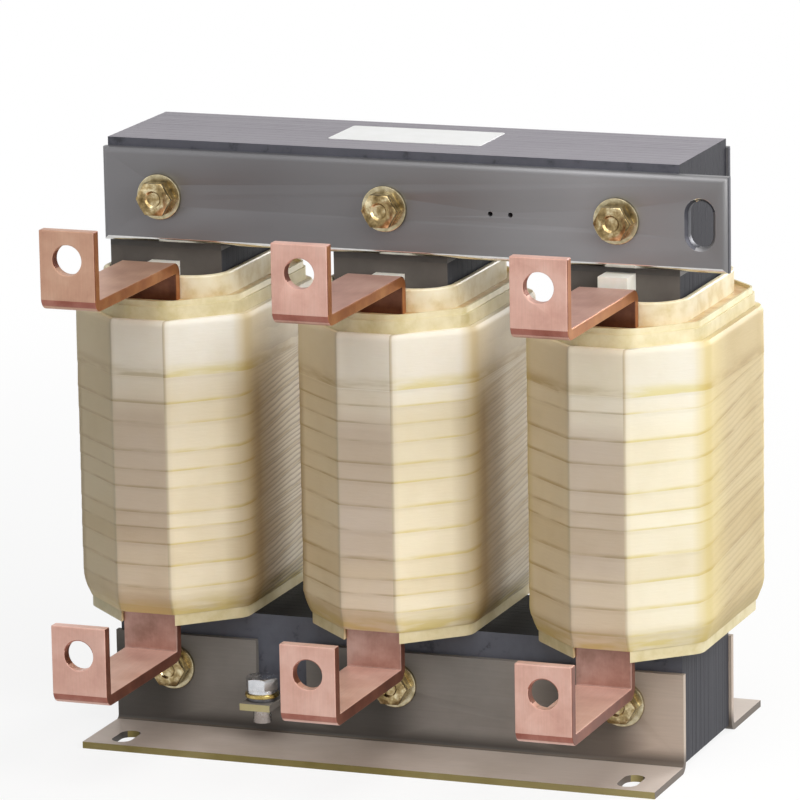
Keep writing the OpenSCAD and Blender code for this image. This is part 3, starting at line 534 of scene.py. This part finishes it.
# copy of a CAD node's form with its sharp edges broken, as deburred metal has
def deburred(nodeName, name, widthMm, hardDeg=34, segments=2):
    form = bmesh.new()
    form.from_mesh(nodes[nodeName].data)
    bmesh.ops.remove_doubles(form, verts=form.verts, dist=0.002 * mm)
    bmesh.ops.dissolve_limit(form, angle_limit=math.radians(0.4), verts=form.verts, edges=form.edges)
    sharp = [e for e in form.edges if e.is_manifold and e.calc_face_angle() > math.radians(hardDeg)]
    bmesh.ops.bevel(form, geom=sharp, offset=widthMm * mm, segments=segments, profile=0.5,
                    affect="EDGES", clamp_overlap=True)
    mesh = bpy.data.meshes.new(name)
    form.to_mesh(mesh)
    form.free()
    shadeSmooth(mesh, 24)
    return mesh


for side in coils:
    finishNode(side + "_winding", foilCopper)
    finishNode(side + "_margins", marginBoard)
finishNode("gap_spacers", spacerBoard)
finishNode("bolt_sleeves", spacerBoard)
finishNode("coil_wedges", wedgeResin)

# fasteners and coil boards, copies of the solids: finish, slot and width of the broken edges in mm
worked = {
    "upper_washers": (washerZinc, "bolt_zinc", 0.35),
    "lower_washers": (washerZinc, "bolt_zinc", 0.35),
    "upper_nuts": (yellowZinc, "bolt_zinc", 0.25),
    "lower_nuts": (yellowZinc, "bolt_zinc", 0.25),
    "upper_bolts": (yellowZinc, "bolt_zinc", 0.3),
    "lower_bolts": (yellowZinc, "bolt_zinc", 0.3),
    "earth_screw": (brightZinc, "earth_steel", 0.25),
    "earth_spring_washer": (brightZinc, "earth_steel", 0.2),
    "earth_tooth_washer": (darkZinc, "earth_steel", 0.2),
    "earth_clamp_washer": (stampedBrass, "earth_brass", 0.3),
}
for side in coils:
    worked[side + "_former"] = (formerBoard, "former_board", 0.8)
    worked[side + "_sleeve"] = (sleeveBoard, "sleeve_film", 0.35)
for nodeName, (material, slotName, widthMm) in worked.items():
    mesh = deburred(nodeName, nodeName + "_made", widthMm)
    addPiece(nodeName + "_made", mesh, [material], slotName, nodeName)
print("fasteners and boards: edges broken")


# gives each face one of a piece's materials by a rule on its middle and its normal
def pickFaces(mesh, rule):
    for polygon in mesh.polygons:
        polygon.material_index = rule(polygon.center, polygon.normal)


# clamp bars: the rolled lower edge is smooth, and painted much lighter as a highlight; the sawn ends are
# dark, and the slot's left wall is painted dark as shade
clamp = {"breakMm": 0.2, "endMm": 128.0, "slotMm": 142.0}  # the slot's left wall is between the last two


def clampFinish(middle, normal):
    sawn = abs(normal.x) > 0.9 and abs(middle.x) > clamp["endMm"] * mm
    # painted shade on the slot's left wall, which faces the light
    slotWallShade = normal.x > 0.25 and clamp["endMm"] * mm < middle.x < clamp["slotMm"] * mm
    if sawn or slotWallShade:
        return 2
    # the rolled lower edge: smooth, with a painted highlight
    return 1 if normal.z < -0.15 and abs(normal.y) > 0.05 else 0


for nodeName in ("upper_front_clamp", "upper_rear_clamp"):
    mesh = deburred(nodeName, nodeName + "_bar", clamp["breakMm"])
    pickFaces(mesh, clampFinish)
    addPiece(nodeName + "_bar", mesh, [clampSteel, clampEdgeHighlight, clampEndAndShade], "clamp_steel", nodeName)

# floor brackets: dull leg, flange painted paler as lit from above, inside of the fold painted dark as shade;
# cut edges of flange and tongue are gold
bracket = {"breakMm": 0.35, "legMm": 45.0, "foldMm": 9.0}  # the leg lies within legMm of the core's middle


def bracketFinish(middle, normal):
    if abs(normal.y) > 0.8:
        return 0 if abs(middle.y) < bracket["legMm"] * mm else 3 if middle.z < bracket["foldMm"] * mm else 4
    if middle.z > bracket["foldMm"] * mm or normal.z < 0.1:
        return 0
    return 1 if normal.z > 0.97 else 2


for nodeName, leg in (("lower_front_bracket", bracketLeg), ("lower_rear_bracket", bracketRear)):
    mesh = deburred(nodeName, nodeName + "_sheet", bracket["breakMm"])
    pickFaces(mesh, bracketFinish)
    finishes = [leg, bracketFlangeLit, bracketCreaseShade, bracketEdge, tongueEdge]
    addPiece(nodeName + "_sheet", mesh, finishes, "bracket_steel", nodeName)

# copper bars: broad faces drawn, cut sides sheared, the tabs' sides tarnished; painted dark: the upper part
# of the tab's bend as a reflection, the legs as shade under the bars and the lower runs' sides as shade;
# painted lighter: the lower runs' tops, as lit;
# the upper left bar is more tarnished than the rest
bar = {
    "tabMm": 34.5,  # height of the upright tab
    "bendMm": 5.6,  # reach of its bend, up and back
    "legMm": 6.0,  # the leg lies within this of the bar's rear
    "breakMm": 0.55,
}
upperBar = [copperFace, copperEdge, copperBendShade, copperRootShadow, copperTarnishAndShade, copperFace]
lowerBar = [copperFace, copperTarnishAndShade, copperBendShade, copperLegShade, copperTarnishAndShade, copperRunLit]
brownBar = [copperBrown, copperEdge, copperBendShade, copperRootShadow, copperTarnishAndShade, copperBrown]
barFinishes = {"upper_left": brownBar, "upper_centre": upperBar, "upper_right": upperBar,
               "lower_left": lowerBar, "lower_centre": lowerBar, "lower_right": lowerBar}


def barFinish(nodeName):
    low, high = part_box(nodeName)
    bendTop = high.z - (bar["tabMm"] - bar["bendMm"]) * mm
    bendBack = low.y + bar["bendMm"] * mm
    legFront = high.y - bar["legMm"] * mm

    def rule(middle, normal):
        # legs, painted dark as the shade under the bars
        if middle.y > legFront and abs(normal.z) < 0.9:
            return 3
        if abs(normal.x) > 0.8:
            # x-facing sides: on the lower bars the runs' sides take painted shade
            return 4 if middle.z > bendTop else 1
        # runs' top faces: on the lower bars painted lighter, as light
        if normal.z > 0.9 and middle.z < bendTop:
            return 5
        # upper faces of the bend, painted dark as a reflection
        bent = middle.y < bendBack and middle.z < bendTop and normal.y < -0.1 and -0.6 < normal.z < -0.1
        return 2 if bent else 0
    return rule


for barPlace, finishes in barFinishes.items():
    nodeName = barPlace + "_terminal"
    mesh = deburred(nodeName, nodeName + "_bar", bar["breakMm"])
    pickFaces(mesh, barFinish(nodeName))
    addPiece(nodeName + "_bar", mesh, finishes, "copper", nodeName)
print("metalwork: clamps, brackets and copper bars")

# core: sheets stacked along Y, each a little out of line with the next
stack = {
    "sheetMm": 1.0,
    "outMm": 0.06,
    "labelMm": 0.3,  # top of the upper yoke, kept for its label
    "faceMm": 30.0,  # a stack's broad faces lie beyond this, from the core's middle
    "seed": 7,
}


def sheetStack(nodeName):
    low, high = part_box(nodeName)
    if nodeName == "upper_yoke":
        high.z -= stack["labelMm"] * mm
    rand = random.Random(stack["seed"])
    count = round((high.y - low.y) / (stack["sheetMm"] * mm))
    form = bmesh.new()
    rings = []
    for i in range(count):
        inset = [rand.random() * stack["outMm"] * mm for _ in range(4)]
        corners = [(low.x + inset[0], low.z + inset[1]), (high.x - inset[2], low.z + inset[1]),
                   (high.x - inset[2], high.z - inset[3]), (low.x + inset[0], high.z - inset[3])]
        for end in (i, i + 1):
            y = low.y + (high.y - low.y) * end / count
            rings.append([form.verts.new((x, y, z)) for x, z in corners])
    for a, b in zip(rings, rings[1:]):
        for k in range(4):
            form.faces.new((a[k], a[(k + 1) % 4], b[(k + 1) % 4], b[k]))
    form.faces.new(rings[0])
    form.faces.new(rings[-1])
    bmesh.ops.recalc_face_normals(form, faces=form.faces)
    mesh = bpy.data.meshes.new(nodeName + "_sheets")
    form.to_mesh(mesh)
    form.free()
    return mesh


def stackFinish(middle, normal):
    if abs(normal.y) > 0.5:
        return 1 if middle.y * normal.y > stack["faceMm"] * mm else 0
    return 2 if abs(normal.x) > 0.5 else 0


# finishes of each stack: upper and lower edges, broad faces, ends; the lower yoke's edges are painted black
# as shade and its front lighter as reflected light, the limbs' sides and the upper yoke's ends painted dark
# as shade
stackFinishes = {"upper_yoke": [yokeTop, yokeFace, sheetsInShade], "lower_yoke": [sheetsInDeepShade, yokeFrontLit, yokeEnd]}
stackFinishes |= {side + "_limb": [sheetsInShade, limbFace, sheetsInShade] for side in coils}
for nodeName, finishes in stackFinishes.items():
    mesh = sheetStack(nodeName)
    pickFaces(mesh, stackFinish)
    addPiece(nodeName + "_sheets", mesh, finishes, "core_steel", nodeName)
print("core: yokes and limbs stacked from sheets")

# coil wraps: tape laid round the eight-sided coil in laps that climb one pitch along the right side
wrap = {
    "flatMm": 12.6,  # half width of the flat over the bar, to the sharp corner
    "slopeMm": 26.1,  # depth of the slope between flat and side
    "flatRadiusMm": 2.2,
    "sideRadiusMm": 12.7,
    "columnMm": 1.5,
    "arcMm": 0.8,
    "cornerShare": 0.2,  # part of an eighth of the map that a corner takes
    "rowMm": 0.62,
    "lapMm": 9.4,
    "lapSpread": 0.32,
    "lapStepMm": 0.18,
    "stepShare": 0.13,  # part of a lap over which its edge falls to the next
    "plainTopMm": {"left": 35.0, "centre": 30.0, "right": 27.0},  # last broad turn at the top
    "topLaps": 4,  # length of that turn's map, in laps
    "leastLapMm": 0.5,
    "wanderMm": 0.4,
    "wanderPerM": (22.0, 140.0),  # waves round the coil and upwards
    "dentMm": 0.3,
    "dentPerM": (45.0, 60.0),
    "pinchMm": 10.0,
    "pinchInMm": 3.2,
    "rimMm": 2.4,  # height and depth of the rounding at the top edge
    "rimInMm": 1.1,
    "wallMm": 3.9,
}


# outline of the wrap: points, outward directions, way round and directions across the wall, from the corner
# right of the front flat; the wall keeps the width of the flats, as the layers under it do
def wrapOutline(halfX, halfY):
    flat, sideY = wrap["flatMm"] * mm, halfY - wrap["slopeMm"] * mm
    corners = [(flat, -halfY), (halfX, -sideY), (halfX, sideY), (flat, halfY),
               (-flat, halfY), (-halfX, sideY), (-halfX, -sideY), (-flat, -halfY)]
    corners = [Vector(corner) for corner in corners]
    radii = ["flatRadiusMm", "sideRadiusMm", "sideRadiusMm", "flatRadiusMm"] * 2
    points = []
    for i, here in enumerate(corners):
        before = (corners[i - 1] - here).normalized()
        after = (corners[(i + 1) % 8] - here).normalized()
        halfTurn = before.angle(after) / 2
        radius = wrap[radii[i]] * mm
        centre = here + (before + after).normalized() * radius / math.sin(halfTurn)
        start = (here + before * radius / math.tan(halfTurn)) - centre
        sweep = math.pi - 2 * halfTurn
        steps = max(4, round(sweep * radius / (wrap["arcMm"] * mm)))
        for k in range(steps + 1):
            spin = sweep * k / steps
            out = Vector((start.x * math.cos(spin) - start.y * math.sin(spin),
                          start.x * math.sin(spin) + start.y * math.cos(spin)))
            across = out.normalized() if radii[i] == "sideRadiusMm" else Vector((0, math.copysign(1, here.y)))
            points.append((centre + out, out.normalized(), i + wrap["cornerShare"] * k / steps, across))
    straight = 1 - wrap["cornerShare"]
    filled = []  # the straight faces between the corners get their own columns
    for (a, outA, wayA, acrossA), (b, _, _, acrossB) in zip(points, points[1:] + points[:1]):
        filled.append((a, outA, wayA, acrossA))
        extra = int((b - a).length / (wrap["columnMm"] * mm))
        for k in range(1, extra):
            across = acrossA.lerp(acrossB, k / extra)
            filled.append((a.lerp(b, k / extra), outA, wayA + straight * k / extra, across))
    return filled


# heights at which laps start, from below the wrap up to the broad turn at its top
def lapLines(height, plainTop, rand):
    lines = [-1.5 * wrap["lapMm"]]
    while lines[-1] < height / mm - plainTop:
        lines.append(lines[-1] + wrap["lapMm"] * (1 + wrap["lapSpread"] * (2 * rand.random() - 1)))
    return [line * mm for line in lines]


# place of one lap line at a point of the outline: it climbs to the next line along the right side
def lineHeight(lines, k, climb, point):
    rise = lines[min(k + 1, len(lines) - 1)] - lines[k]
    level = lines[k] + rise * climb
    along, up = wrap["wanderPerM"]
    return level + wrap["wanderMm"] * mm * noise.noise((point.x * along, point.y * along, level * up))


def wrapMesh(side, seed):
    low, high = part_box(side + "_wrap")
    middle, half = (low + high) / 2, (high - low) / 2
    height = high.z - low.z
    outline = wrapOutline(half.x, half.y)
    lines = lapLines(height, wrap["plainTopMm"][side], random.Random(seed))
    along, up = wrap["dentPerM"]
    rows = round(height / (wrap["rowMm"] * mm))
    columns = len(outline)
    verts, laps = [], []
    for point, out, way, across in outline + outline[:1]:
        closing = len(laps) == columns * (rows + 1)  # last column repeats the first, one lap on
        climb = 1.0 if closing else min(max((way - 1.0) / (1 + wrap["cornerShare"]), 0.0), 1.0)
        levels = [lineHeight(lines, k, climb, point) for k in range(len(lines))]
        k = 0
        for row in range(rows + 1):
            z = height * row / rows
            while k + 1 < len(levels) and levels[k + 1] <= z:
                k += 1
            if k + 1 < len(levels):
                within = (z - levels[k]) / max(levels[k + 1] - levels[k], wrap["leastLapMm"] * mm)
            else:
                within = (z - levels[k]) / (wrap["topLaps"] * wrap["lapMm"] * mm)
            within = min(max(within, 0.0), 0.999)
            laps.append(k + within)
            if closing:
                continue
            fall = min(max((within - 1 + wrap["stepShare"]) / wrap["stepShare"], 0.0), 1.0)
            inset = wrap["lapStepMm"] * (within - fall * fall * (3 - 2 * fall))
            dent = noise.noise((point.x * along + seed, point.y * along, z * up))
            inset += wrap["dentMm"] * (0.5 + 0.5 * dent)
            inset = max(inset, 0.0)
            sunk = wrap["pinchInMm"] * max(0.0, 1 - z / (wrap["pinchMm"] * mm)) ** 1.5
            sunk += wrap["rimInMm"] * max(0.0, 1 - (height - z) / (wrap["rimMm"] * mm)) ** 2
            place = point - (out * inset + across * sunk) * mm
            verts.append((middle.x + place.x, middle.y + place.y, low.z + z))
    faces, maps = [], []
    for column in range(columns):
        a, b = column * (rows + 1), (column + 1) % columns * (rows + 1)
        wayA = outline[column][2] / 8
        wayB = outline[column + 1][2] / 8 if column + 1 < columns else 1.0
        lapB = (column + 1) * (rows + 1)
        for row in range(rows):
            faces.append((a + row, b + row, b + row + 1, a + row + 1))
            maps.append(((wayA, laps[a + row]), (wayB, laps[lapB + row]),
                         (wayB, laps[lapB + row + 1]), (wayA, laps[a + row + 1])))
    inner = len(verts)
    for point, _, _, across in outline:
        place = point - across * wrap["wallMm"] * mm
        verts += [(middle.x + place.x, middle.y + place.y, z) for z in (low.z, high.z)]
    for column in range(columns):
        after = (column + 1) % columns
        a, b = column * (rows + 1), after * (rows + 1)
        c, d = inner + 2 * column, inner + 2 * after
        faces += [(a, c, d, b), (a + rows, b + rows, d + 1, c + 1), (c, c + 1, d + 1, d)]
        way = outline[column][2] / 8
        maps += [((way, 0.5),) * 4] * 3
    mesh = bpy.data.meshes.new(side + "_tape")
    mesh.from_pydata(verts, [], faces)
    layer = mesh.uv_layers.new(name="wrapMap")
    layer.data.foreach_set("uv", [value for face in maps for corner in face for value in corner])
    shadeSmooth(mesh, 40)
    return mesh


for seed, side in enumerate(coils):
    addPiece(side + "_tape", wrapMesh(side, seed + 3), [tapes[side]], "coil_tape", side + "_wrap")
print("coils: three wraps laid")

# bare label on the upper yoke, film with round corners
labelFilm = {"sizeMm": (70.0, 32.5), "middleMm": (-0.5, 3.2), "thickMm": 0.25, "cornerMm": 1.5,
             "cornerSteps": 5}


def labelMesh():
    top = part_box("upper_yoke")[1].z - stack["labelMm"] * mm
    halfX, halfY = (size / 2 - labelFilm["cornerMm"] for size in labelFilm["sizeMm"])
    form = bmesh.new()
    edge = []
    steps = labelFilm["cornerSteps"]
    for quarter, (sx, sy) in enumerate(((1, 1), (-1, 1), (-1, -1), (1, -1))):
        for k in range(steps + 1):
            angle = math.pi / 2 * (quarter + k / steps)
            edge.append(form.verts.new((
                (labelFilm["middleMm"][0] + sx * halfX + labelFilm["cornerMm"] * math.cos(angle)) * mm,
                (labelFilm["middleMm"][1] + sy * halfY + labelFilm["cornerMm"] * math.sin(angle)) * mm, top)))
    face = form.faces.new(edge)
    raised = bmesh.ops.extrude_face_region(form, geom=[face])
    lifted = [v for v in raised["geom"] if isinstance(v, bmesh.types.BMVert)]
    bmesh.ops.translate(form, verts=lifted, vec=(0, 0, labelFilm["thickMm"] * mm))
    bmesh.ops.recalc_face_normals(form, faces=form.faces)
    mesh = bpy.data.meshes.new("label_film")
    form.to_mesh(mesh)
    form.free()
    return mesh


addPiece("label_film", labelMesh(), [label], "wedge_plastic")
print("label laid")

# studio: pale floor, white surroundings; a broad key from the right, a top light, a weak fill, a rear light
studio = {
    "floorM": 8.0,
    "dropMm": 0.05,  # the floor lies this far under the feet
    "floorLit": "#bcbcba",  # what the floor throws back on the object
    "floorSeen": "#f4f4f2",
    "whiteNear": 0.84,  # share of white in the seen floor near the object; all white beyond farM
    "nearM": 0.35,
    "farM": 1.0,
    "ambient": 0.09,
}
lamps = {
    "key": {"place": (1.15, -0.55, 0.72), "size": 0.9, "power": 15.0},
    "top": {"place": (0.3, -0.8, 1.6), "size": 1.5, "power": 16.5},
    "fill": {"place": (-1.7, -1.3, 0.6), "size": 1.4, "power": 2.5},
    "rear": {"place": (0.56, 1.35, 0.5), "size": 0.5, "power": 16.0},
}
lampAim = Vector((0.0, -0.02, 0.13))


# 1 for what the eye or a mirror sees, 0 for light that falls on the object
def seenRay(tree):
    ray = addNode(tree, "ShaderNodeLightPath")
    both = addNode(tree, "ShaderNodeMath", {"operation": "MAXIMUM"},
                   {0: ray.outputs["Is Camera Ray"], 1: ray.outputs["Is Glossy Ray"]})
    return addNode(tree, "ShaderNodeMath", {"operation": "MAXIMUM"},
                   {0: both.outputs[0], 1: ray.outputs["Is Transmission Ray"]})


def addStudio():
    world = bpy.data.worlds.new("studio")
    world.use_nodes = True
    scene.world = world
    tree = world.node_tree
    tree.nodes.clear()
    seen = seenRay(tree)
    soft = addNode(tree, "ShaderNodeBackground", None,
                   {"Color": linear("#ffffff"), "Strength": studio["ambient"]})
    white = addNode(tree, "ShaderNodeBackground", None, {"Color": linear("#ffffff"), "Strength": 1.0})
    mixed = addNode(tree, "ShaderNodeMixShader", None,
                    {0: seen.outputs[0], 1: soft.outputs[0], 2: white.outputs[0]})
    addNode(tree, "ShaderNodeOutputWorld", None, {0: mixed.outputs[0]})
    material = bpy.data.materials.new("paleFloor")
    material.use_nodes = True
    tree = material.node_tree
    tree.nodes.clear()
    seen = seenRay(tree)
    place = addNode(tree, "ShaderNodeTexCoord")
    away = addNode(tree, "ShaderNodeVectorMath", {"operation": "LENGTH"}, {0: place.outputs["Object"]})
    white = addNode(tree, "ShaderNodeMapRange", {"interpolation_type": "SMOOTHSTEP"},
                    {"Value": away.outputs["Value"], "From Min": studio["nearM"], "From Max": studio["farM"],
                     "To Min": studio["whiteNear"], "To Max": 1.0})
    share = addNode(tree, "ShaderNodeMath", {"operation": "MULTIPLY"},
                    {0: seen.outputs[0], 1: white.outputs[0]})
    pale = addNode(tree, "ShaderNodeMix", {"data_type": "RGBA"},
                   {0: seen.outputs[0], 6: linear(studio["floorLit"]), 7: linear(studio["floorSeen"])})
    matt = addNode(tree, "ShaderNodeBsdfDiffuse", None, {"Color": pale.outputs[2]})
    glow = addNode(tree, "ShaderNodeEmission", None, {"Color": linear("#ffffff"), "Strength": 1.0})
    mixed = addNode(tree, "ShaderNodeMixShader", None,
                    {0: share.outputs[0], 1: matt.outputs[0], 2: glow.outputs[0]})
    addNode(tree, "ShaderNodeOutputMaterial", None, {0: mixed.outputs[0]})
    half = studio["floorM"] / 2
    mesh = bpy.data.meshes.new("floor")
    corners = [(-half, -half, 0), (half, -half, 0), (half, half, 0), (-half, half, 0)]
    mesh.from_pydata(corners, [], [(0, 1, 2, 3)])
    mesh.materials.append(material)
    floor = bpy.data.objects.new("floor", mesh)
    floor.location.z = -studio["dropMm"] * mm
    scene.collection.objects.link(floor)
    for name, lamp in lamps.items():
        data = bpy.data.lights.new(name, "AREA")
        data.energy = lamp["power"]
        data.size = lamp["size"]
        light = bpy.data.objects.new(name, data)
        light.location = lamp["place"]
        light.rotation_euler = (lampAim - light.location).to_track_quat("-Z", "Y").to_euler()
        scene.collection.objects.link(light)


addStudio()

# camera at the photograph's angle
camera = {"azimuthDeg": 20.8, "elevationDeg": 12.65, "rollDeg": -1.0, "distanceM": 2.522, "lensMm": 262.8,
          "sensorMm": 36.0, "aimMm": (-1.4, -20.0, 152.0)}


def addCamera():
    az, el = math.radians(camera["azimuthDeg"]), math.radians(camera["elevationDeg"])
    back = Vector((math.sin(az) * math.cos(el), -math.cos(az) * math.cos(el), math.sin(el)))
    data = bpy.data.cameras.new("camera")
    data.lens = camera["lensMm"]
    data.sensor_width = camera["sensorMm"]
    eye = bpy.data.objects.new("camera", data)
    scene.collection.objects.link(eye)
    eye.location = Vector(camera["aimMm"]) * mm + back * camera["distanceM"]
    eye.rotation_mode = "QUATERNION"
    roll = Quaternion((0, 0, 1), math.radians(camera["rollDeg"]))
    eye.rotation_quaternion = (-back).to_track_quat("-Z", "Y") @ roll
    scene.camera = eye


addCamera()
print("studio and camera set")
